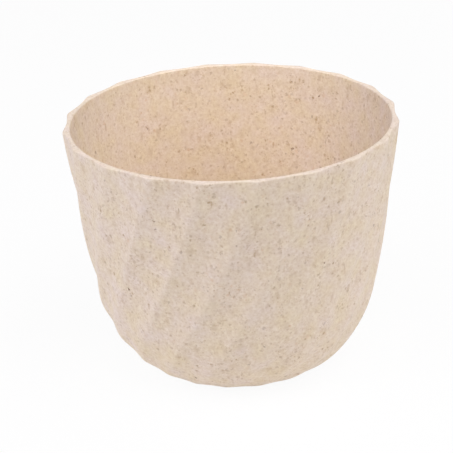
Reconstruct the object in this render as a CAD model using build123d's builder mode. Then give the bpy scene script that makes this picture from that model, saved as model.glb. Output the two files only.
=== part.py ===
from build123d import *
import os
from math import cos, hypot, radians, sin

# A round plant pot, moulded in one piece from a speckled plant-fibre composite, with spiral
# flutes round its outside, and the soft stopper that closes the drain hole in its floor.
# Sizes are in millimetres and angles in degrees. The pot stands on z = 0 with its axis on Z,
# and its front faces -Y.

# Outside of the pot, measured over the ridges between the flutes
POT_HEIGHT = 108.0
RIM_DIAMETER = 140.0
# Where the line of the side wall, carried on down, would meet the ground
WALL_FOOT_DIAMETER = 110.2
# How far the middle of the side wall swells past a straight line
WALL_BOW = 1.2
# Height at which the wall starts to turn in, and how far it has turned in at the ground
CORNER_HEIGHT = 35.7
CORNER_TUCK = 21.3
# Angle of the corner's sweep, from the wall to the ground
CORNER_SWEEP = 90.0

# Wall between the ridges and the smooth inside, and the floor
WALL_THICKNESS = 3.2
FLOOR_THICKNESS = 3.0
# Rounding of the rim's inner edge and bevel of its fluted outer edge
LIP_ROUND = 0.7
RIM_BEVEL = 0.35

# Flutes: hollows side by side, with a ridge between neighbours
FLUTE_COUNT = 20
FLUTE_DEPTH = 1.5
# Bearing of the first ridge at the rim, counted from +X towards +Y
FIRST_RIDGE_ANGLE = -82.0
# Angle that a ridge turns through on its way from the rim to the ground
RIDGE_TURN = 59.0
# Part of that turn which is even all the way down; the rest comes in towards the ground
EVEN_TURN_SHARE = 0.5
# Part of the flutes' depth that is left at the ground, and how late the rest fades
FOOT_FLUTE_SHARE = 0.65
FADE_POWER = 5

# Cross-sections that the outside is drawn through
WALL_SECTIONS = 6
CORNER_SECTIONS = 8

# Foot ring under the pot, round a shallow recess, with gaps that let water out
FOOT_RING_WIDTH = 6.3
RECESS_DEPTH = 2.4
RECESS_DRAFT = 30.0
DRAIN_GAP_COUNT = 3
DRAIN_GAP_WIDTH = 7.0
DRAIN_GAP_DEPTH = 1.2
DRAIN_GAP_LENGTH = 20.0

# Tapered drain hole, wide end up
DRAIN_DIAMETER = 13.0
DRAIN_TAPER = 5.0

# Stopper: a flange on the floor, a stem in the hole and a tab to pull it by
PLUG_CLEARANCE = 0.05
PLUG_FLANGE_DIAMETER = 22.0
PLUG_FLANGE_THICKNESS = 2.2
PLUG_FLANGE_ROUND = 0.9
# How far the stem shows below the floor
PLUG_STEM_SHOW = 1.0
PLUG_STEM_ROUND = 0.4
TAB_WIDTH = 12.0
TAB_THICKNESS = 3.2
TAB_HEIGHT = 9.0
TAB_ROUND = 0.6
GRIP_RIB_COUNT = 3
GRIP_RIB_DIAMETER = 1.0
GRIP_RIB_SPACING = 1.9
# Clear stretch of tab past each end of a grip rib
GRIP_RIB_MARGIN = 1.6

# How far every cut runs past the surface it leaves by
OVERRUN = 5.0

FLOOR_TOP = RECESS_DEPTH + FLOOR_THICKNESS
FLUTE_PITCH = 360 / FLUTE_COUNT


def wall_radius(height):
    """Radius of the side wall's line, over the ridges, at a height above the ground."""
    up_share = height / POT_HEIGHT
    foot_radius = WALL_FOOT_DIAMETER / 2
    rim_radius = RIM_DIAMETER / 2
    return foot_radius + (rim_radius - foot_radius) * up_share + 4 * WALL_BOW * up_share * (1 - up_share)


def corner_point(turn, floor, inset):
    """Radius and height on the bottom corner, from the wall at turn 0 to the end of its sweep."""
    height = floor + (CORNER_HEIGHT - floor) * (1 - sin(radians(turn)))
    radius = wall_radius(height) - inset - CORNER_TUCK * (1 - cos(radians(turn)))
    return radius, height


def corner_curve(floor, inset):
    """Points all along the bottom corner."""
    turns = [CORNER_SWEEP * step / CORNER_SECTIONS for step in range(CORNER_SECTIONS + 1)]
    return [corner_point(turn, floor, inset) for turn in turns]


def ring_point(radius, angle):
    """Point of a cross-section at a radius and a bearing."""
    return radius * cos(radians(angle)), radius * sin(radians(angle))


def outside_levels():
    """Radius and height of each cross-section of the outside, from the rim down to the ground."""
    wall_drop = (POT_HEIGHT - CORNER_HEIGHT) / WALL_SECTIONS
    wall_heights = [POT_HEIGHT - wall_drop * step for step in range(WALL_SECTIONS)]
    return [(wall_radius(height), height) for height in wall_heights] + corner_curve(0, 0)


def down_shares(levels):
    """How far down the outside each level lies, from 0 at the rim to 1 at the ground."""
    lengths = [0]
    for (radius, height), (next_radius, next_height) in zip(levels, levels[1:]):
        lengths.append(lengths[-1] + hypot(next_radius - radius, next_height - height))
    return [length / lengths[-1] for length in lengths]


def ridge_angle(down_share):
    """Bearing of the first ridge at a share of the way down the outside."""
    turn_share = EVEN_TURN_SHARE * down_share + (1 - EVEN_TURN_SHARE) * down_share**2
    return FIRST_RIDGE_ANGLE - RIDGE_TURN * turn_share


def flute_depth(radius, down_share):
    """Depth of a flute below the ridges, in step with the radius and shallower at the ground."""
    kept_share = 1 - (1 - FOOT_FLUTE_SHARE) * down_share**FADE_POWER
    return FLUTE_DEPTH * radius / (RIM_DIAMETER / 2) * kept_share


# Pot: a fluted body drawn through cross-sections, hollowed by a smooth inside
outside = outside_levels()
with BuildPart() as pot_shell:
    for (radius, height), down_share in zip(outside, down_shares(outside)):
        hollow_radius = radius - flute_depth(radius, down_share)
        with BuildSketch(Plane.XY.offset(height)):
            with BuildLine():
                for flute in range(FLUTE_COUNT):
                    ridge = ridge_angle(down_share) + FLUTE_PITCH * flute
                    ThreePointArc(
                        ring_point(radius, ridge),
                        ring_point(hollow_radius, ridge + FLUTE_PITCH / 2),
                        ring_point(radius, ridge + FLUTE_PITCH),
                    )
            make_face()
    loft()

    inside_corner = corner_curve(FLOOR_TOP, WALL_THICKNESS)
    mouth_radius = wall_radius(POT_HEIGHT) - WALL_THICKNESS
    with BuildSketch(Plane.XZ):
        with BuildLine():
            wall_middle = (POT_HEIGHT + CORNER_HEIGHT) / 2
            ThreePointArc(
                (mouth_radius, POT_HEIGHT),
                (wall_radius(wall_middle) - WALL_THICKNESS, wall_middle),
                inside_corner[0],
            )
            Spline(inside_corner)
            Polyline(
                inside_corner[-1],
                (0, FLOOR_TOP),
                (0, POT_HEIGHT + OVERRUN),
                (mouth_radius, POT_HEIGHT + OVERRUN),
                (mouth_radius, POT_HEIGHT),
            )
        make_face()
    revolve(axis=Axis.Z, mode=Mode.SUBTRACT)

    recess_radius = outside[-1][0] - FOOT_RING_WIDTH
    with BuildSketch(Plane.XY):
        Circle(recess_radius)
    extrude(amount=RECESS_DEPTH, taper=RECESS_DRAFT, mode=Mode.SUBTRACT)
    with BuildSketch(Plane.XY.offset(FLOOR_TOP)):
        Circle(DRAIN_DIAMETER / 2)
    extrude(amount=-(FLOOR_THICKNESS + OVERRUN), taper=DRAIN_TAPER, mode=Mode.SUBTRACT)
    with BuildSketch(Plane.XY.offset(-OVERRUN)):
        with PolarLocations(recess_radius - OVERRUN + DRAIN_GAP_LENGTH / 2, DRAIN_GAP_COUNT):
            Rectangle(DRAIN_GAP_LENGTH, DRAIN_GAP_WIDTH)
    extrude(amount=OVERRUN + DRAIN_GAP_DEPTH, mode=Mode.SUBTRACT)

    rim_edges = pot_shell.edges().group_by(Axis.Z)[-1].sort_by(SortBy.LENGTH)
    fillet(rim_edges[-1], LIP_ROUND)
    rim_edges = pot_shell.edges().group_by(Axis.Z)[-1].sort_by(SortBy.LENGTH)
    chamfer(rim_edges[:-1], RIM_BEVEL)
pot_shell.part.label = "pot_shell"

# Stopper, pulled up and out from inside the pot
with BuildPart() as drain_plug:
    with BuildSketch(Plane.XY.offset(FLOOR_TOP)):
        Circle(PLUG_FLANGE_DIAMETER / 2)
    extrude(amount=PLUG_FLANGE_THICKNESS)
    fillet(drain_plug.edges().group_by(Axis.Z)[-1], PLUG_FLANGE_ROUND)
    with BuildSketch(Plane.XY.offset(FLOOR_TOP)):
        Circle(DRAIN_DIAMETER / 2 - PLUG_CLEARANCE)
    extrude(amount=-(FLOOR_THICKNESS + PLUG_STEM_SHOW), taper=DRAIN_TAPER)
    fillet(drain_plug.edges().group_by(Axis.Z)[0], PLUG_STEM_ROUND)

    flange_top = FLOOR_TOP + PLUG_FLANGE_THICKNESS
    with BuildSketch(Plane.XZ):
        with BuildLine():
            Polyline(
                (TAB_WIDTH / 2, flange_top),
                (-TAB_WIDTH / 2, flange_top),
                (-TAB_WIDTH / 2, flange_top + TAB_HEIGHT - TAB_WIDTH / 2),
            )
            ThreePointArc(
                (-TAB_WIDTH / 2, flange_top + TAB_HEIGHT - TAB_WIDTH / 2),
                (0, flange_top + TAB_HEIGHT),
                (TAB_WIDTH / 2, flange_top + TAB_HEIGHT - TAB_WIDTH / 2),
            )
            Line(
                (TAB_WIDTH / 2, flange_top + TAB_HEIGHT - TAB_WIDTH / 2),
                (TAB_WIDTH / 2, flange_top),
            )
        make_face()
    extrude(amount=TAB_THICKNESS / 2, both=True)
    tab_edges = drain_plug.faces().filter_by(Axis.Y).edges().group_by(Axis.Z)
    fillet([edge for group in tab_edges[1:] for edge in group], TAB_ROUND)
    grip_height = flange_top + (TAB_HEIGHT - TAB_WIDTH / 2 + GRIP_RIB_SPACING) / 2
    with BuildSketch(Plane.YZ):
        with Locations((0, grip_height)):
            with GridLocations(TAB_THICKNESS, GRIP_RIB_SPACING, 2, GRIP_RIB_COUNT):
                Circle(GRIP_RIB_DIAMETER / 2)
    extrude(amount=TAB_WIDTH / 2 - GRIP_RIB_MARGIN, both=True)
drain_plug.part.label = "drain_plug"

os.makedirs("parts", exist_ok=True)
export_step(pot_shell.part, "parts/pot_shell.step")
export_step(drain_plug.part, "parts/drain_plug.step")
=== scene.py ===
# %% [markdown]
# # A fluted plant pot and its drain stopper
# The pot is one moulding of ground plant fibre in a pale binder: cream, speckled, with shallow
# spiral flutes round its outside. A soft stopper closes the drain hole in its floor. This lesson
# loads the measured solids as a fixed frame, then builds a finer mesh and a finish for each.

# %% Load the measured solids
import math

import bpy
import numpy as np
from mathutils import Color, Matrix, Vector, noise


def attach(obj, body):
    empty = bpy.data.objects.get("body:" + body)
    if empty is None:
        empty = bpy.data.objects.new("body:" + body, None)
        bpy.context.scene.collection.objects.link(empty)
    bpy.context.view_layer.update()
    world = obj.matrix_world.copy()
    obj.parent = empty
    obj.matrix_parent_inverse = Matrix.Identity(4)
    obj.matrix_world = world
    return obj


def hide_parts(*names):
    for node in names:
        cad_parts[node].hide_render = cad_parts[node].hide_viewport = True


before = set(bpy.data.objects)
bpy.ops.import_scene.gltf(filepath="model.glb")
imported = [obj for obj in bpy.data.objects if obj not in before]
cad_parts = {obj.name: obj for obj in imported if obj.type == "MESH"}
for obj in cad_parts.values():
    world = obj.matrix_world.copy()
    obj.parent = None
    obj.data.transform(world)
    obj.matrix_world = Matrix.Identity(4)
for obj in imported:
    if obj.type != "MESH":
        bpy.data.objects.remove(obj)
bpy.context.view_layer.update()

# %% [markdown]
# ## The pot's measures
# A moulded pot is a turned shape with a pattern pressed into it. Its outside is a gently bowed wall
# that tucks in towards the ground round a quarter of an ellipse. Two short formulas give every point
# of that line, so the mesh can be as fine as it needs to be without a list of points.

# %% Measures of the pot
MM = 0.001
POT_HEIGHT = 108 * MM
RIM_RADIUS = 70 * MM
# Where the line of the wall, carried on down, would meet the ground
WALL_FOOT_RADIUS = 55.1 * MM
# How far the middle of the wall swells past a straight line
WALL_BOW = 1.2 * MM
# Height at which the wall starts to turn in, and how far it has turned in at the ground
CORNER_HEIGHT = 35.7 * MM
CORNER_TUCK = 21.3 * MM
WALL_THICKNESS = 3.2 * MM
FLOOR_TOP = 5.4 * MM


def wall_radius(height):
    """Radius of the side wall over its ridges, at a height above the ground."""
    up = height / POT_HEIGHT
    return WALL_FOOT_RADIUS + (RIM_RADIUS - WALL_FOOT_RADIUS) * up + 4 * WALL_BOW * up * (1 - up)


def corner_line(floor, inset, steps):
    """Radius and height along the bottom corner, from the wall down to the floor."""
    turn = np.linspace(0, math.pi / 2, steps)
    height = floor + (CORNER_HEIGHT - floor) * (1 - np.sin(turn))
    return np.stack([wall_radius(height) - inset - CORNER_TUCK * (1 - np.cos(turn)), height], 1)


def wall_line(top, inset, steps):
    """Radius and height down the side wall, from a height near the rim to the corner."""
    height = np.linspace(top, CORNER_HEIGHT, steps)
    return np.stack([wall_radius(height) - inset, height], 1)


print("foot radius", round(float(corner_line(0, 0, 2)[-1, 0]), 4))

# %% [markdown]
# ## One closed line round the wall of the pot
# Cut the pot in half and the cut shows one closed line: down the outside, under the foot, up through
# the drain hole, across the floor, up the inside and over the rim. The line is drawn once, with its
# corners softened as a mould leaves them, and later turned about the axis. Cutting a hollow and a
# hole out of a solid block would give the same form, but with ragged faces along every cut.

# %% Helpers for drawing a line
def quarter(start, middle, end, steps):
    """A soft corner: points of a curve that leaves start towards middle and arrives at end."""
    t = np.linspace(0, 1, steps)[:, None]
    a, b, c = (np.array(p) for p in (start, middle, end))
    return (1 - t) ** 2 * a + 2 * t * (1 - t) * b + t**2 * c


def softened(points, reach, steps):
    """A bent line with each inner corner rounded off, as far as the reach along both its sides."""
    points = [np.array(p) for p in points]
    line = [points[0][None]]
    for before, corner, after in zip(points, points[1:], points[2:]):
        back = corner + (before - corner) / np.linalg.norm(before - corner) * reach
        on = corner + (after - corner) / np.linalg.norm(after - corner) * reach
        line.append(quarter(back, corner, on, steps))
    return np.concatenate(line + [points[-1][None]])


def divided(line, longest):
    """The same line with points added until no step is longer than the limit."""
    out = [line[:1]]
    for a, b in zip(line, line[1:]):
        count = max(1, math.ceil(np.linalg.norm(b - a) / longest))
        out.append(a + (b - a) * np.linspace(0, 1, count + 1)[1:, None])
    return np.concatenate(out)


print("line helpers:", [helper.__name__ for helper in (quarter, softened, divided)])

# %% Stretches of the line
# How far the rounding of the outer rim, the inner lip and the other corners reaches
RIM_ROUND = 0.6 * MM
LIP_ROUND = 0.8 * MM
MOULD_ROUND = 0.5 * MM
# Recess inside the foot ring, with a sloping side, and the tapered drain hole
RECESS_RADIUS = 27.5 * MM
RECESS_DEPTH = 2.4 * MM
RECESS_SLOPE = 1.4 * MM
HOLE_RADIUS = 6.5 * MM
HOLE_TAPER = 0.26 * MM
# Points along each stretch, and the longest step under the pot
OUTSIDE_WALL_STEPS = 50
OUTSIDE_CORNER_STEPS = 34
INSIDE_WALL_STEPS = 34
INSIDE_CORNER_STEPS = 22
RIM_STEPS = 6
MOULD_STEPS = 4
LONGEST_STEP = 3 * MM

outside = np.concatenate(
    [
        wall_line(POT_HEIGHT - RIM_ROUND, 0, OUTSIDE_WALL_STEPS)[:-1],
        corner_line(0, 0, OUTSIDE_CORNER_STEPS),
    ]
)
inside = np.concatenate(
    [
        wall_line(POT_HEIGHT - LIP_ROUND, WALL_THICKNESS, INSIDE_WALL_STEPS)[:-1],
        corner_line(FLOOR_TOP, WALL_THICKNESS, INSIDE_CORNER_STEPS),
    ]
)
under_corners = [
    outside[-1],
    (RECESS_RADIUS, 0),
    (RECESS_RADIUS - RECESS_SLOPE, RECESS_DEPTH),
    (HOLE_RADIUS - HOLE_TAPER, RECESS_DEPTH),
    (HOLE_RADIUS, FLOOR_TOP),
    inside[-1],
]
under = divided(softened(under_corners, MOULD_ROUND, MOULD_STEPS), LONGEST_STEP)
mouth_radius = inside[0, 0]
lip = quarter(inside[0], (mouth_radius, POT_HEIGHT), (mouth_radius + LIP_ROUND, POT_HEIGHT), RIM_STEPS)
rim_edge = wall_radius(POT_HEIGHT - RIM_ROUND)
rim = quarter((rim_edge - RIM_ROUND, POT_HEIGHT), (rim_edge, POT_HEIGHT), outside[0], RIM_STEPS)
print("rows:", [len(stretch) for stretch in (rim, outside, under, inside, lip)])

# %% [markdown]
# ## Flutes that follow the mesh
# The outside carries shallow hollows side by side, with a soft ridge between neighbours. They stand
# nearly upright at the rim and lean more and more towards the ground. If the mesh's own columns lean
# the same way, each ridge is one clean line of edges, and a few columns close to it keep it crisp.
# The alternative, pushing an even grid in and out, would leave the ridges ragged.

# %% Columns and the twist of the ridges
FLUTE_COUNT = 20
FLUTE_DEPTH = 1.5 * MM
FIRST_RIDGE = math.radians(-82)
# Turn of a ridge from the rim to the ground, and the part of it that is even all the way down
RIDGE_TURN = math.radians(59)
EVEN_TURN_SHARE = 0.5
# Part of the depth that is left at the ground, and how late the rest fades
FOOT_FLUTE_SHARE = 0.65
FADE_POWER = 5
# Rounding of a ridge, as a share of a flute's width
RIDGE_SOFT_SHARE = 0.07
# Columns from a ridge to the middle of the hollow beside it, closer together at the ridge
HALF_FLUTE_SHARES = np.array([0, 0.02, 0.045, 0.08, 0.13, 0.2, 0.29, 0.39])

flute_shares = np.concatenate([HALF_FLUTE_SHARES, [0.5], 1 - HALF_FLUTE_SHARES[:0:-1]])
columns = (np.arange(FLUTE_COUNT)[:, None] + flute_shares).ravel()
column_angles = FIRST_RIDGE + columns * 2 * math.pi / FLUTE_COUNT
to_ridge = np.minimum(columns % 1, 1 - columns % 1)
to_ridge = np.sqrt(to_ridge**2 + RIDGE_SOFT_SHARE**2) - RIDGE_SOFT_SHARE
hollow = 4 * to_ridge * (1 - to_ridge)

steps_down = np.linalg.norm(np.diff(outside, axis=0), axis=1)
outside_down = np.concatenate([[0], np.cumsum(steps_down)]) / steps_down.sum()
inside_down = np.interp(-inside[:, 1], -outside[:, 1], outside_down)


def twist(down):
    """How far the ridges have turned at a share of the way down."""
    return -RIDGE_TURN * (EVEN_TURN_SHARE * down + (1 - EVEN_TURN_SHARE) * down**2)


def depth_of_flutes(radius, down):
    """Depth of the hollows, in step with the radius and shallower at the ground."""
    return FLUTE_DEPTH * radius / RIM_RADIUS * (1 - (1 - FOOT_FLUTE_SHARE) * down**FADE_POWER)


print("columns", len(columns), "deepest hollow", round(float(hollow.max()), 3))

# %% [markdown]
# ## Turn the line into the pot
# Every row of the mesh is one point of the line, swept round the axis through all the columns. Each
# row also knows how far down the flutes it lies, because the columns twist as they go down. The last
# row joins the first, so the pot is one watertight skin with no caps. Three shallow channels across
# the foot ring let water out, and a slow noise keeps the wall from being too perfect. Two painted
# attributes, for the ridges and the rim, tell the finish where hands and trays rub.

# %% Rows of the pot
line = np.concatenate([rim[:-1], outside, under[1:-1], inside[::-1], lip[1:]])
down = np.concatenate(
    [
        np.zeros(len(rim) - 1),
        outside_down,
        np.linspace(1, inside_down[-1], len(under))[1:-1],
        inside_down[::-1],
        np.zeros(len(lip) - 1),
    ]
)
flute = np.concatenate(
    [
        np.full(len(rim) - 1, depth_of_flutes(RIM_RADIUS, 0)),
        depth_of_flutes(outside[:, 0], outside_down),
        np.zeros(len(under) - 2 + len(inside) + len(lip) - 1),
    ]
)
on_rim = (line[:, 1] > POT_HEIGHT - RIM_ROUND / 2).astype(float)
print("rows in all", len(line), "of which on the rim", int(on_rim.sum()))

# %% Points of the pot
CHANNEL_COUNT = 3
CHANNEL_WIDTH = 7 * MM
CHANNEL_DEPTH = 1.2 * MM
CHANNEL_SOFT = 0.8 * MM
# Height of the wall's unevenness, and how many waves of it there are in a metre
UNEVEN_HEIGHT = 0.09 * MM
UNEVEN_PER_METRE = 45
# How far from a ridge it is rubbed, as a share of a flute's width
RIDGE_WEAR_SHARE = 0.1


def channel_mask(x, y):
    """1 inside the water channels under the foot, 0 outside them, with soft sides."""
    mask = np.zeros_like(x)
    for turn in np.arange(CHANNEL_COUNT) * 2 * math.pi / CHANNEL_COUNT:
        along = x * math.cos(turn) + y * math.sin(turn)
        across = np.abs(y * math.cos(turn) - x * math.sin(turn))
        rise = np.clip((CHANNEL_WIDTH / 2 - across) / CHANNEL_SOFT + 0.5, 0, 1)
        mask = np.maximum(mask, rise**2 * (3 - 2 * rise) * (along > 0))
    return mask


def pot_points():
    """Every vertex of the pot, row by row, and how near each is to a ridge."""
    radius = line[:, :1] - flute[:, None] * hollow
    angle = column_angles + twist(down)[:, None]
    x, y = radius * np.cos(angle), radius * np.sin(angle)
    z = np.broadcast_to(line[:, 1:], x.shape)
    z = z + np.clip(CHANNEL_DEPTH - z, 0, None) * channel_mask(x, y)
    points = np.stack([x, y, z], 2).reshape(-1, 3)
    high = np.clip(points[:, 2] / CORNER_HEIGHT, 0, 1)
    uneven = np.array([noise.noise(Vector(p) * UNEVEN_PER_METRE) for p in points])
    outward = points * (1, 1, 0) / np.linalg.norm(points[:, :2], axis=1)[:, None]
    points += outward * (uneven * UNEVEN_HEIGHT * high)[:, None]
    near = np.clip(1 - to_ridge / RIDGE_WEAR_SHARE, 0, 1) * (flute / FLUTE_DEPTH)[:, None]
    return points, near.ravel()


points, ridge_wear = pot_points()
print("points", len(points), "height", round(float(points[:, 2].max()), 4))

# %% Mesh of the pot
def grid_mesh(name, points, rows, around):
    """A mesh of four-sided faces whose rows and columns both close on themselves."""
    corner = np.arange(rows * around).reshape(rows, around)
    below = np.roll(corner, -1, 0)
    faces = np.stack([corner, below, np.roll(below, -1, 1), np.roll(corner, -1, 1)], 2).reshape(-1, 4)
    mesh = bpy.data.meshes.new(name)
    mesh.from_pydata(points.tolist(), [], faces.tolist())
    mesh.validate()
    mesh.shade_smooth()
    return mesh


def paint(mesh, name, values):
    """Stores one number for each vertex, for the finish to read."""
    layer = mesh.attributes.new(name, "FLOAT", "POINT")
    layer.data.foreach_set("value", np.asarray(values, np.float32))


pot_mesh = grid_mesh("pot_moulding", points, len(line), len(columns))
paint(pot_mesh, "ridge_wear", ridge_wear)
paint(pot_mesh, "rim_wear", np.repeat(on_rim, len(columns)))
pot = bpy.data.objects.new("pot_moulding", pot_mesh)
bpy.context.collection.objects.link(pot)
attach(pot, "pot")
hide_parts("pot_shell")
print("pot faces", len(pot_mesh.polygons))

# %% [markdown]
# ## The stopper
# The stopper is a soft moulding: a round flange, a tapered stem and a tab with grip ribs, all one
# piece of rubber with no sharp edge anywhere. Turned and extruded parts are laid into each other and
# then skinned over with a fine voxel remesh, which melts the joints into the soft fillets that a
# rubber mould has. Modelling those fillets by hand would take far longer for the same look.

# %% Turned body of the stopper
PLUG_FIT = 0.05 * MM
FLANGE_RADIUS = 11 * MM
FLANGE_THICKNESS = 2.2 * MM
# Height of the stem's lower end
STEM_END = 1.4 * MM
# How far the rounding of an edge reaches, and its points
PLUG_EDGE_ROUND = 0.45 * MM
PLUG_EDGE_STEPS = 5
PLUG_AROUND = 96

flange_top = FLOOR_TOP + FLANGE_THICKNESS


def lathe(points, around):
    """Vertices and faces of a turned shape whose outline starts and ends on the axis."""
    angle = np.arange(around) * 2 * math.pi / around
    ring = np.stack([np.cos(angle), np.sin(angle)], 1)
    verts = [(0, 0, points[0][1]), (0, 0, points[-1][1])]
    faces = []
    for radius, height in points[1:-1]:
        verts += [(radius * c, radius * s, height) for c, s in ring]
    count = len(points) - 2
    for j in range(around):
        k = (j + 1) % around
        faces.append((0, 2 + k, 2 + j))
        faces.append((1, 2 + (count - 1) * around + j, 2 + (count - 1) * around + k))
        for i in range(count - 1):
            low = 2 + i * around
            top = low + around
            faces.append((low + j, low + k, top + k, top + j))
    return verts, faces


def turned_body():
    """Vertices and faces of the stem and the flange, turned as one."""
    stem_radius = HOLE_RADIUS - PLUG_FIT
    stem_end_radius = stem_radius - HOLE_TAPER * (FLOOR_TOP - STEM_END) / (FLOOR_TOP - RECESS_DEPTH)
    corners = [
        (0, STEM_END),
        (stem_end_radius, STEM_END),
        (stem_radius, FLOOR_TOP),
        (FLANGE_RADIUS, FLOOR_TOP),
        (FLANGE_RADIUS, flange_top),
        (0, flange_top),
    ]
    outline = softened(corners, PLUG_EDGE_ROUND, PLUG_EDGE_STEPS)
    return lathe([tuple(p) for p in outline], PLUG_AROUND)


plug_parts = [turned_body()]
print("turned body faces", len(plug_parts[0][1]))

# %% Tab and grip ribs of the stopper
TAB_WIDTH = 12 * MM
TAB_THICKNESS = 3.2 * MM
TAB_HEIGHT = 9 * MM
TAB_ROUND = 0.7 * MM
TAB_ARC_STEPS = 25
RIB_COUNT = 3
RIB_RADIUS = 0.5 * MM
RIB_SPACING = 1.9 * MM
RIB_LENGTH = 8.8 * MM
RIB_AROUND = 16
# Angles round the end of a rib, from near its tip to its full width
RIB_END_ANGLES = (0.5, 1.1, math.pi / 2)


def tab_outline(inset):
    """Points round the tab, seen from the front: a straight foot under a round top."""
    half = TAB_WIDTH / 2 - inset
    foot = flange_top - FLANGE_THICKNESS / 2
    centre = flange_top + TAB_HEIGHT - TAB_WIDTH / 2
    arc = np.linspace(0, math.pi, TAB_ARC_STEPS)
    top = [(half * math.cos(a), centre + half * math.sin(a)) for a in arc]
    return [(half, foot)] + top + [(-half, foot)]


def tab_slab():
    """Vertices and faces of the tab: outlines stacked through its thickness, drawn in at both faces."""
    half = TAB_THICKNESS / 2
    layers = [(-half, TAB_ROUND), (TAB_ROUND - half, 0), (half - TAB_ROUND, 0), (half, TAB_ROUND)]
    verts = [(x, y, z) for y, inset in layers for x, z in tab_outline(inset)]
    around = len(tab_outline(0))
    last = len(verts) - around
    faces = [tuple(range(around)), tuple(range(len(verts) - 1, last - 1, -1))]
    for low in range(0, last, around):
        for j in range(around):
            k = (j + 1) % around
            faces.append((low + k, low + j, low + around + j, low + around + k))
    return verts, faces


def grip_rib(side, height):
    """Vertices and faces of one round-ended grip rib along a face of the tab."""
    tip = -RIB_LENGTH / 2
    bar = [(0, tip)]
    bar += [(RIB_RADIUS * math.sin(a), tip + RIB_RADIUS * (1 - math.cos(a))) for a in RIB_END_ANGLES]
    bar += [(r, -h) for r, h in bar[:0:-1]] + [(0, -tip)]
    verts, faces = lathe(bar, RIB_AROUND)
    return [(z, y + side * TAB_THICKNESS / 2, height + x) for x, y, z in verts], faces


grip_middle = flange_top + (TAB_HEIGHT - TAB_WIDTH / 2 + RIB_SPACING) / 2
rib_heights = grip_middle + (np.arange(RIB_COUNT) - (RIB_COUNT - 1) / 2) * RIB_SPACING
plug_parts.append(tab_slab())
plug_parts += [grip_rib(side, height) for side in (-1, 1) for height in rib_heights]
print("parts of the stopper", len(plug_parts))

# %% One skin over the stopper
PLUG_VOXEL = 0.2 * MM
# How far one pass of smoothing moves a point towards its neighbours, and the passes
SOFTEN_SHARE = 0.5
SOFTEN_PASSES = 5


def skinned(name, parts):
    """One soft closed skin over several overlapping parts."""
    verts, faces = [], []
    for part_verts, part_faces in parts:
        faces += [tuple(len(verts) + i for i in face) for face in part_faces]
        verts += part_verts
    rough = bpy.data.meshes.new(name + "_parts")
    rough.from_pydata([tuple(map(float, v)) for v in verts], [], faces)
    made = bpy.data.objects.new(name, rough)
    bpy.context.collection.objects.link(made)
    remesh = made.modifiers.new("skin", "REMESH")
    remesh.mode = "VOXEL"
    remesh.voxel_size = PLUG_VOXEL
    soften = made.modifiers.new("soften", "SMOOTH")
    soften.factor = SOFTEN_SHARE
    soften.iterations = SOFTEN_PASSES
    seen = made.evaluated_get(bpy.context.evaluated_depsgraph_get())
    made.data = bpy.data.meshes.new_from_object(seen)
    made.modifiers.clear()
    bpy.data.meshes.remove(rough)
    made.data.name = name
    made.data.shade_smooth()
    return made


plug = skinned("plug_moulding", plug_parts)
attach(plug, "plug")
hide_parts("drain_plug")
print("plug faces", len(plug.data.polygons))

# %% [markdown]
# ## Node groups for the finishes
# A moulded composite gets its look from what is mixed into it. Three effects come back in both
# finishes, so each is a group with named sockets: flecks scattered at one size, a slow mottle of
# colour, and the fine grain that a mould leaves. Flecks come from Voronoi cells in space, so they cut
# through the surface at random and differ in size, as ground husk does.

# %% Helpers for building node trees
def node(tree, kind, inputs=(), **settings):
    """Adds a node, sets its options, and links or sets the inputs given by name or number."""
    made = tree.nodes.new("ShaderNode" + kind)
    for name, value in settings.items():
        setattr(made, name, value)
    for key, value in dict(inputs).items():
        if isinstance(value, bpy.types.NodeSocket):
            tree.links.new(value, made.inputs[key])
        else:
            made.inputs[key].default_value = value
    return made


def math_node(tree, operation, a, b=0.0, c=0.0):
    """The result of a sum or comparison of two values, or of three where the operation takes three."""
    return node(tree, "Math", {0: a, 1: b, 2: c}, operation=operation).outputs[0]


def vector_node(tree, operation, inputs):
    """The result of a sum of two vectors, or of a vector and a scale."""
    return node(tree, "VectorMath", inputs, operation=operation).outputs[0]


def new_group(name, inputs, outputs):
    """An empty shader node group with named sockets, and its two end nodes."""
    tree = bpy.data.node_groups.new(name, "ShaderNodeTree")
    for label, kind, value in inputs:
        socket = tree.interface.new_socket(label, in_out="INPUT", socket_type="NodeSocket" + kind)
        socket.default_value = value
    for label in outputs:
        tree.interface.new_socket(label, in_out="OUTPUT", socket_type="NodeSocketFloat")
    return tree, tree.nodes.new("NodeGroupInput").outputs, tree.nodes.new("NodeGroupOutput").inputs


print("node helpers:", [helper.__name__ for helper in (node, math_node, vector_node, new_group)])

# %% Flecks
# Waves of the noise that rags a fleck's edge, for each cell, and the middle of that noise
RAG_WAVES = 2.3
RAG_DETAIL = 1.0
NOISE_MIDDLE = (0.5, 0.5, 0.5)
# Size of the smallest flecks beside the largest, and the share of a fleck that is full strength
SMALLEST_FLECK_SHARE = 0.4
FLECK_CORE_SHARE = 0.35


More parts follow.
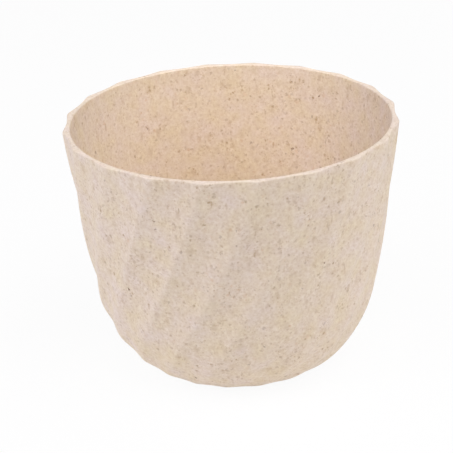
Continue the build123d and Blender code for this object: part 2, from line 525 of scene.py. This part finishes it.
def flecks_group():
    """Scattered flecks: a mask of them and a random tone for each."""
    tree, given, out = new_group(
        "Flecks",
        [
            ("Position", "Vector", (0, 0, 0)),
            ("Stretch", "Vector", (1, 1, 1)),
            ("Per Metre", "Float", 500),
            ("Size", "Float", 0.3),
            ("Share", "Float", 0.4),
            ("Ragged", "Float", 0.3),
        ],
        ["Mask", "Tone"],
    )
    place = vector_node(tree, "MULTIPLY", {0: given["Position"], 1: given["Stretch"]})
    place = vector_node(tree, "SCALE", {0: place, "Scale": given["Per Metre"]})
    rag = {"Vector": place, "Scale": RAG_WAVES, "Detail": RAG_DETAIL}
    shake = node(tree, "TexNoise", rag).outputs["Color"]
    shake = vector_node(tree, "SUBTRACT", {0: shake, 1: NOISE_MIDDLE})
    shake = vector_node(tree, "SCALE", {0: shake, "Scale": given["Ragged"]})
    place = vector_node(tree, "ADD", {0: place, 1: shake})
    cells = node(tree, "TexVoronoi", {"Vector": place, "Scale": 1.0})
    dice = node(tree, "SeparateColor", {0: cells.outputs["Color"]}).outputs
    grown = math_node(tree, "MULTIPLY_ADD", dice["Green"], 1 - SMALLEST_FLECK_SHARE, SMALLEST_FLECK_SHARE)
    edge = math_node(tree, "MULTIPLY", grown, given["Size"])
    core = math_node(tree, "MULTIPLY", edge, FLECK_CORE_SHARE)
    fade = {"Value": cells.outputs["Distance"], "From Min": edge, "From Max": core}
    spot = node(tree, "MapRange", fade, interpolation_type="SMOOTHSTEP").outputs[0]
    pick = {"Value": dice["Red"], "From Min": given["Share"], "From Max": 0.0}
    kept = node(tree, "MapRange", pick).outputs[0]
    tree.links.new(math_node(tree, "MULTIPLY", spot, kept), out["Mask"])
    tree.links.new(dice["Blue"], out["Tone"])
    return tree


FLECKS = flecks_group()
print("group", FLECKS.name, "with sockets", [socket.name for socket in FLECKS.interface.items_tree])

# %% Mottle and mould grain
# Nearly all of a noise lies between these values
NOISE_LOW = 0.3
NOISE_HIGH = 0.7
GRAIN_DETAIL = 4.0
GRAIN_ROUGHNESS = 0.6
# Pits for each wave of the grain, one to a cell, and how far a pit reaches in its cell
PITS_PER_WAVE = 0.35
PIT_REACH_SHARE = 0.25


def mottle_group():
    """A slow change from 0 to 1 over the surface."""
    tree, given, out = new_group(
        "Mottle",
        [("Position", "Vector", (0, 0, 0)), ("Per Metre", "Float", 60), ("Detail", "Float", 3)],
        ["Factor"],
    )
    clouds = {"Vector": given["Position"], "Scale": given["Per Metre"], "Detail": given["Detail"]}
    wave = node(tree, "TexNoise", clouds).outputs[0]
    spread = node(tree, "MapRange", {"Value": wave, "From Min": NOISE_LOW, "From Max": NOISE_HIGH})
    tree.links.new(spread.outputs[0], out["Factor"])
    return tree


def grain_group():
    """Height of the fine, slightly pitted skin that a mould leaves."""
    tree, given, out = new_group(
        "Mould Grain",
        [("Position", "Vector", (0, 0, 0)), ("Per Metre", "Float", 1500), ("Pits", "Float", 0.4)],
        ["Height"],
    )
    waves = {"Vector": given["Position"], "Scale": given["Per Metre"]}
    waves |= {"Detail": GRAIN_DETAIL, "Roughness": GRAIN_ROUGHNESS}
    fine = node(tree, "TexNoise", waves).outputs[0]
    pit_cells = math_node(tree, "MULTIPLY", given["Per Metre"], PITS_PER_WAVE)
    pits = node(tree, "TexVoronoi", {"Vector": given["Position"], "Scale": pit_cells}).outputs["Distance"]
    pits = node(tree, "MapRange", {"Value": pits, "From Min": 0.0, "From Max": PIT_REACH_SHARE}).outputs[0]
    pits = math_node(tree, "MULTIPLY", math_node(tree, "SUBTRACT", pits, 1.0), given["Pits"])
    tree.links.new(math_node(tree, "ADD", fine, pits), out["Height"])
    return tree


MOTTLE = mottle_group()
GRAIN = grain_group()
print("groups:", [group.name for group in (FLECKS, MOTTLE, GRAIN)])

# %% [markdown]
# ## The speckled composite
# Seen close, the pot is a pale binder full of ground husk: cloudy meal and dust too fine to make out,
# soft tan clots, small brown specks, a few large dark husks, tan and pale flakes, and some short
# fibres. They crowd together in some places and thin out in others. Each layer is one use of the
# fleck group at its own size, laid over the last. A picture wrapped round the wall would need seams;
# flecks scattered in space need none. Colours are picked as a screen shows them and turned into the
# linear values that the shader works in.

# %% Helpers for the finishes
SCREEN_WHITE = 255
# Sockets of the Mix node that hold colours, by number because their names are not unique
MIX_UNDER = 6
MIX_OVER = 7
MIX_RESULT = 2


def screen(red, green, blue):
    """A colour picked on screen, 0 to 255, as linear values."""
    picked = Color((red / SCREEN_WHITE, green / SCREEN_WHITE, blue / SCREEN_WHITE))
    return (*picked.from_srgb_to_scene_linear(), 1.0)


def use(tree, group, place, values, label):
    """Places a node group in a material with its own values and a label, and gives its outputs."""
    return node(tree, "Group", {"Position": place, **values}, node_tree=group, label=label).outputs


def blend(tree, factor, under, over):
    """The colour under, turned towards the colour over by the factor."""
    inputs = {"Factor": factor, MIX_UNDER: under, MIX_OVER: over}
    return node(tree, "Mix", inputs, data_type="RGBA").outputs[MIX_RESULT]


def new_material(name):
    """A material with its tree, its Principled shader and the place on the object."""
    made = bpy.data.materials.new(name)
    made.use_nodes = True
    tree = made.node_tree
    place = node(tree, "TexCoord").outputs["Object"]
    return made, tree, tree.nodes["Principled BSDF"], place


print("finish helpers:", [helper.__name__ for helper in (screen, use, blend, new_material)])

# %% Binder, meal and flecks of the pot
BINDER = screen(234, 220, 211)
BINDER_WARM = screen(233, 219, 194)
MEAL = screen(190, 158, 119)
BINDER_CLOUDS = {"Per Metre": 110, "Detail": 5.0}
# Cloudy layers of fine meal: clouds per metre, strength
MEAL_LAYERS = [(380, 0.13), (850, 0.33)]
MEAL_DETAIL = 3.0
# Layers of flecks: name, cells per metre, size, share of cells, stretch, strength, two tones
FLECK_LAYERS = [
    ("flakes", 400, 0.50, 0.70, (1, 1, 1), 0.50, screen(246, 235, 222), screen(208, 170, 130)),
    ("clots", 270, 0.60, 0.70, (1, 1, 0.7), 0.26, screen(180, 141, 88), screen(168, 135, 90)),
    ("dust", 1050, 0.64, 1.00, (1, 1, 1), 0.36, screen(183, 144, 84), screen(172, 136, 80)),
    ("fibres", 560, 0.40, 0.45, (1, 0.8, 0.28), 0.42, screen(167, 121, 50), screen(152, 114, 54)),
    ("specks", 500, 0.52, 0.80, (1, 1, 1), 0.46, screen(158, 112, 48), screen(146, 110, 54)),
    ("husks", 320, 0.32, 0.20, (1, 1, 1), 0.66, screen(118, 62, 12), screen(110, 66, 18)),
]
FLECK_RAGGED = 0.8
# Clouds in which the flecks crowd, their strength where they are thinnest, and what crowding adds
CROWD_CLOUDS = {"Per Metre": 150, "Detail": 3.0}
CROWD_LEAST = 0.37
CROWD_RANGE = 1.1


def binder_colour(tree, place, slow):
    """The clouded binder with its layers of meal."""
    colour = blend(tree, slow, BINDER, BINDER_WARM)
    for per_metre, strength in MEAL_LAYERS:
        clouds = {"Per Metre": per_metre, "Detail": MEAL_DETAIL}
        meal = use(tree, MOTTLE, place, clouds, "meal")["Factor"]
        colour = blend(tree, math_node(tree, "MULTIPLY", meal, strength), colour, MEAL)
    return colour


def with_flecks(tree, place, colour):
    """The colour with every layer of flecks laid over it, and one mask of them all."""
    crowd = use(tree, MOTTLE, place, CROWD_CLOUDS, "crowding")["Factor"]
    crowd = math_node(tree, "MULTIPLY_ADD", crowd, CROWD_RANGE, CROWD_LEAST)
    all_flecks = 0.0
    for name, per_metre, size, share, stretch, strength, tone_a, tone_b in FLECK_LAYERS:
        scatter = {"Stretch": stretch, "Per Metre": per_metre, "Size": size, "Share": share}
        layer = use(tree, FLECKS, place, {**scatter, "Ragged": FLECK_RAGGED}, name)
        tone = blend(tree, layer["Tone"], tone_a, tone_b)
        seen = math_node(tree, "MULTIPLY", math_node(tree, "MULTIPLY", layer["Mask"], strength), crowd)
        colour = blend(tree, seen, colour, tone)
        all_flecks = math_node(tree, "MAXIMUM", all_flecks, seen)
    return colour, all_flecks


print("fleck layers:", [layer[0] for layer in FLECK_LAYERS])

# %% Finish of the pot
RUBBED = screen(238, 226, 214)
# How far rubbing turns the rim to that colour, and how much of it a ridge takes
RUB_LEAST = 0.1
RUB_RANGE = 0.25
RIDGE_RUB_SHARE = 0.5
POT_ROUGH_LEAST = 0.56
POT_ROUGH_MOST = 0.68
# How much smoother a fleck is than the binder, and how far it stands out beside the grain
FLECK_POLISH = 0.12
FLECK_RISE = 0.5
POT_GRAIN = {"Per Metre": 1300, "Pits": 0.25}
POT_BUMP = {"Strength": 0.5, "Distance": 0.04 * MM}
POT_SPECULAR = 0.2


def composite_finish():
    """The pale, speckled, matt finish of the pot."""
    made, tree, shader, place = new_material("fibre_composite")
    slow = use(tree, MOTTLE, place, BINDER_CLOUDS, "binder clouds")["Factor"]
    colour, flecks = with_flecks(tree, place, binder_colour(tree, place, slow))
    rim_rub = node(tree, "Attribute", attribute_name="rim_wear").outputs["Fac"]
    ridge_rub = node(tree, "Attribute", attribute_name="ridge_wear").outputs["Fac"]
    rubbed = math_node(tree, "MAXIMUM", rim_rub, math_node(tree, "MULTIPLY", ridge_rub, RIDGE_RUB_SHARE))
    patchy = math_node(tree, "MULTIPLY_ADD", slow, RUB_RANGE, RUB_LEAST)
    colour = blend(tree, math_node(tree, "MULTIPLY", rubbed, patchy), colour, RUBBED)
    tree.links.new(colour, shader.inputs["Base Color"])
    rough = {"Value": slow, "To Min": POT_ROUGH_LEAST, "To Max": POT_ROUGH_MOST}
    rough = node(tree, "MapRange", rough).outputs[0]
    rough = math_node(tree, "SUBTRACT", rough, math_node(tree, "MULTIPLY", flecks, FLECK_POLISH))
    tree.links.new(rough, shader.inputs["Roughness"])
    grain = use(tree, GRAIN, place, POT_GRAIN, "mould grain")["Height"]
    height = math_node(tree, "ADD", grain, math_node(tree, "MULTIPLY", flecks, FLECK_RISE))
    bump = node(tree, "Bump", {"Height": height, **POT_BUMP})
    tree.links.new(bump.outputs[0], shader.inputs["Normal"])
    shader.inputs["Specular IOR Level"].default_value = POT_SPECULAR
    return made


pot.data.materials.append(composite_finish())
print("pot finish:", pot.data.materials[0].name, "with", len(pot.data.materials[0].node_tree.nodes), "nodes")

# %% [markdown]
# ## The soft rubber
# The stopper is a plain grey-brown rubber. New rubber is even, but with use it gets a cloudy bloom and
# picks up pale dust. It could have a tree of its own, but the mottle, flecks and grain of the pot do
# the work with quieter values.

# %% Finish of the stopper
RUBBER = screen(92, 82, 73)
RUBBER_BLOOM = screen(114, 104, 94)
RUBBER_DUST = screen(188, 172, 152)
BLOOM_CLOUDS = {"Per Metre": 170, "Detail": 5.0}
DUST_SCATTER = {"Per Metre": 1100, "Size": 0.22, "Share": 0.2, "Ragged": 0.6}
DUST_STRENGTH = 0.45
PLUG_ROUGH_LEAST = 0.5
PLUG_ROUGH_MOST = 0.72
PLUG_GRAIN = {"Per Metre": 2600, "Pits": 0.15}
PLUG_BUMP = {"Strength": 0.4, "Distance": 0.03 * MM}
PLUG_SPECULAR = 0.4


def rubber_finish():
    """The soft matt finish of the stopper, with a dusty bloom."""
    made, tree, shader, place = new_material("plug_rubber")
    slow = use(tree, MOTTLE, place, BLOOM_CLOUDS, "bloom")["Factor"]
    colour = blend(tree, slow, RUBBER, RUBBER_BLOOM)
    dust = use(tree, FLECKS, place, DUST_SCATTER, "dust")["Mask"]
    colour = blend(tree, math_node(tree, "MULTIPLY", dust, DUST_STRENGTH), colour, RUBBER_DUST)
    tree.links.new(colour, shader.inputs["Base Color"])
    rough = {"Value": slow, "To Min": PLUG_ROUGH_LEAST, "To Max": PLUG_ROUGH_MOST}
    tree.links.new(node(tree, "MapRange", rough).outputs[0], shader.inputs["Roughness"])
    grain = use(tree, GRAIN, place, PLUG_GRAIN, "mould grain")["Height"]
    bump = node(tree, "Bump", {"Height": grain, **PLUG_BUMP})
    tree.links.new(bump.outputs[0], shader.inputs["Normal"])
    shader.inputs["Specular IOR Level"].default_value = PLUG_SPECULAR
    return made


plug.data.materials.append(rubber_finish())
print("stopper finish:", plug.data.materials[0].name)

# %% [markdown]
# ## Floor and backdrop
# The pot stands on a plain white sweep. The floor is an ordinary pale surface to every lamp, so it
# throws light back up at the pot and takes its shadow, but the camera sees most of it as plain white.
# More light on the floor would whiten it too, but would bleach the pot. From below the floor is
# clear, so that the underside of the pot can be looked at.

# %% White floor
FLOOR_HALF = 4.0
FLOOR_PALE = (0.88, 0.88, 0.88, 1)
WHITE = (1, 1, 1, 1)
FLOOR_WHITE_SHARE = 0.94


def looked_at(tree):
    """1 where the camera looks, straight or by a mirror or through glass, and 0 for other light."""
    path = node(tree, "LightPath").outputs
    seen = math_node(tree, "MAXIMUM", path["Is Camera Ray"], path["Is Glossy Ray"])
    return math_node(tree, "MAXIMUM", seen, path["Is Transmission Ray"])


def floor_finish():
    """A pale floor that the camera sees as nearly white, with the pot's shadow kept."""
    made = bpy.data.materials.new("floor_white")
    made.use_nodes = True
    tree = made.node_tree
    tree.nodes.clear()
    pale = node(tree, "BsdfDiffuse", {"Color": FLOOR_PALE}).outputs[0]
    white = node(tree, "Emission", {"Color": WHITE, "Strength": 1.0}).outputs[0]
    share = math_node(tree, "MULTIPLY", looked_at(tree), FLOOR_WHITE_SHARE)
    mixed = node(tree, "MixShader", {0: share, 1: pale, 2: white}).outputs[0]
    below = node(tree, "NewGeometry").outputs["Backfacing"]
    clear = node(tree, "BsdfTransparent").outputs[0]
    mixed = node(tree, "MixShader", {0: below, 1: mixed, 2: clear}).outputs[0]
    end = node(tree, "OutputMaterial")
    tree.links.new(mixed, end.inputs["Surface"])
    return made


floor_corners = [(x * FLOOR_HALF, y * FLOOR_HALF, 0) for x, y in ((-1, -1), (1, -1), (1, 1), (-1, 1))]
floor_mesh = bpy.data.meshes.new("floor")
floor_mesh.from_pydata(floor_corners, [], [(0, 1, 2, 3)])
floor = bpy.data.objects.new("floor", floor_mesh)
floor.data.materials.append(floor_finish())
bpy.context.collection.objects.link(floor)
print("floor", 2 * FLOOR_HALF, "m across")

# %% [markdown]
# ## Light
# Flutes as shallow as these show only where light grazes them. Two lamps on the left do that, a broad
# one and a smaller one. A broad, strong lamp on the right evens out that side, one hangs high in
# front, and a weak one stands low behind. A narrow lamp over the camera shines into the mouth. The
# table that a pot stands on also throws light up at its lower wall: a lit disc just over the floor,
# hidden from the camera, does that. One bright sky all round would be simpler, but it would flatten
# the flutes, so the world only shows as white, behind the pot and in its gloss.

# %% Lamps
# Broad lamps: name, bearing from the front (left is negative), height angle, width, watts, colour
LAMPS = [
    ("far_left", -80, 30, 1.0, 5.32, (0.92, 0.91, 1.0)),
    ("left", -60, 35, 0.5, 3.02, (0.87, 0.9, 1.0)),
    ("right", 75, 43, 1.4, 10.64, (0.94, 0.95, 1.0)),
    ("front", 14, 62, 0.7, 5.07, (1.0, 0.94, 0.92)),
    ("back", 180, 12, 1.0, 2.5, (1.0, 1.0, 1.0)),
]
LAMP_DISTANCE = 1.1
# Narrow lamp over the camera, aimed at the far inside wall
INNER_LAMP_PLACE = Vector((0, -0.42, 0.52))
INNER_LAMP_AIM = Vector((0, 0.064, 0.092))
INNER_LAMP_CONE = math.radians(15)
INNER_LAMP_WATTS = 3.66
INNER_LAMP_COLOUR = (1.0, 0.89, 0.71)
# Lit table: a broad disc just over the floor that shines up
TABLE_PLACE = Vector((0, 0, 1 * MM))
TABLE_AIM = Vector((0, 0, 1))
TABLE_WIDTH = 0.5
TABLE_WATTS = 0.0846
TABLE_COLOUR = (0.96, 1.0, 0.92)

pot_middle = Vector((0, 0, POT_HEIGHT / 2))


def place_lamp(name, kind, place, target, watts, colour):
    """A lamp at a place, turned towards a target."""
    lamp = bpy.data.lights.new("lamp_" + name, kind)
    lamp.energy = watts
    lamp.color = colour
    placed = bpy.data.objects.new("lamp_" + name, lamp)
    placed.location = place
    placed.rotation_euler = (target - place).to_track_quat("-Z", "Y").to_euler()
    bpy.context.collection.objects.link(placed)
    return placed


for name, bearing, height, width, watts, colour in LAMPS:
    turn = math.radians(bearing)
    rise = math.radians(height)
    way = Vector((math.sin(turn) * math.cos(rise), -math.cos(turn) * math.cos(rise), math.sin(rise)))
    broad = place_lamp(name, "AREA", pot_middle + LAMP_DISTANCE * way, pot_middle, watts, colour)
    broad.data.size = width
inner = place_lamp("inner", "SPOT", INNER_LAMP_PLACE, INNER_LAMP_AIM, INNER_LAMP_WATTS, INNER_LAMP_COLOUR)
inner.data.spot_size = INNER_LAMP_CONE
inner.data.spot_blend = 1.0
table = place_lamp("table", "AREA", TABLE_PLACE, TABLE_AIM, TABLE_WATTS, TABLE_COLOUR)
table.data.shape = "DISK"
table.data.size = TABLE_WIDTH
table.visible_camera = False
print("lamps:", [light.name for light in bpy.data.lights])

# %% White world
def white_world():
    """A world that the camera and the gloss see as plain white, and that gives no other light."""
    world = bpy.data.worlds.new("surround")
    world.use_nodes = True
    tree = world.node_tree
    tree.nodes.clear()
    dark = node(tree, "Background", {"Strength": 0.0}).outputs[0]
    white = node(tree, "Background", {"Color": WHITE, "Strength": 1.0}).outputs[0]
    mixed = node(tree, "MixShader", {0: looked_at(tree), 1: dark, 2: white}).outputs[0]
    end = node(tree, "OutputWorld")
    tree.links.new(mixed, end.inputs["Surface"])
    return world


bpy.context.scene.world = white_world()
print("world:", bpy.context.scene.world.name)

# %% [markdown]
# ## Camera
# The camera looks down at the pot from the front with a long lens, tipped a little to one side, as a
# hand-held product shot is. Its place follows from the height angle and the distance, which are
# easier to judge and to change than three bare coordinates.

# %% Camera
CAMERA_AIM = Vector((-3.53 * MM, 0, 57.75 * MM))
CAMERA_HEIGHT_ANGLE = 25.05
CAMERA_DISTANCE = 630 * MM
CAMERA_ROLL = -2.4
# Focal length and sensor width, both in millimetres
CAMERA_LENS = 116.2
CAMERA_SENSOR = 36

lens = bpy.data.cameras.new("camera")
lens.lens = CAMERA_LENS
lens.sensor_width = CAMERA_SENSOR
camera = bpy.data.objects.new("camera", lens)
tilt = math.radians(CAMERA_HEIGHT_ANGLE)
back = Vector((0, -math.cos(tilt), math.sin(tilt)))
camera.location = CAMERA_AIM + back * CAMERA_DISTANCE
facing = (-back).to_track_quat("-Z", "Y").to_matrix()
camera.rotation_euler = (facing @ Matrix.Rotation(math.radians(CAMERA_ROLL), 3, "Z")).to_euler()
bpy.context.collection.objects.link(camera)
bpy.context.scene.camera = camera
bpy.context.scene.view_settings.view_transform = "Standard"
print("camera at", tuple(round(c, 4) for c in camera.location))
